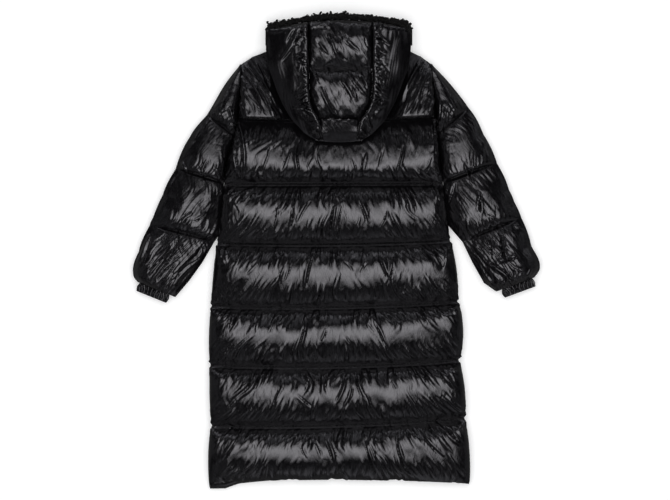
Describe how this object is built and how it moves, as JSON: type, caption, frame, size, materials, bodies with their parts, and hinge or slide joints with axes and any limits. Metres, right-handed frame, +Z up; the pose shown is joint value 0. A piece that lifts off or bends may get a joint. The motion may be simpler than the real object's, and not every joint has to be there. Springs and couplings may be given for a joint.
{
  "type": "long puffer coat",
  "caption": "Long hooded puffer coat laid face down with its back up: quilted channels, set-in sleeves with gathered cuffs, and the hood folded down over a shearling lining.",
  "frame": {"origin": "middle of the coat's outline on the surface that it lies on", "axes": "+Z up, out of the coat's back; +Y from the hem to the hood; +X to the wearer's right"},
  "size_m": [1.102, 1.2852, 0.1083],
  "materials": {
    "shell": "glossy black nylon over soft padding, creased at the stitching",
    "cuff": "glossy black nylon gathered on elastic",
    "shearling": "matt black curly shearling"
  },
  "bodies": {
    "root": {"back": "shell", "front_left": "shell", "front_right": "shell", "front_placket": "shell", "sleeve_left_back": "shell", "sleeve_left_front": "shell", "sleeve_right_back": "shell", "sleeve_right_front": "shell", "hood_centre": "shell", "hood_left": "shell", "hood_right": "shell", "hood_under": "shell", "hood_chin": "shell", "cuff_left": "cuff", "cuff_right": "cuff", "hood_lining_back": "shearling", "hood_lining_front": "shearling"}
  },
  "joints": []
}
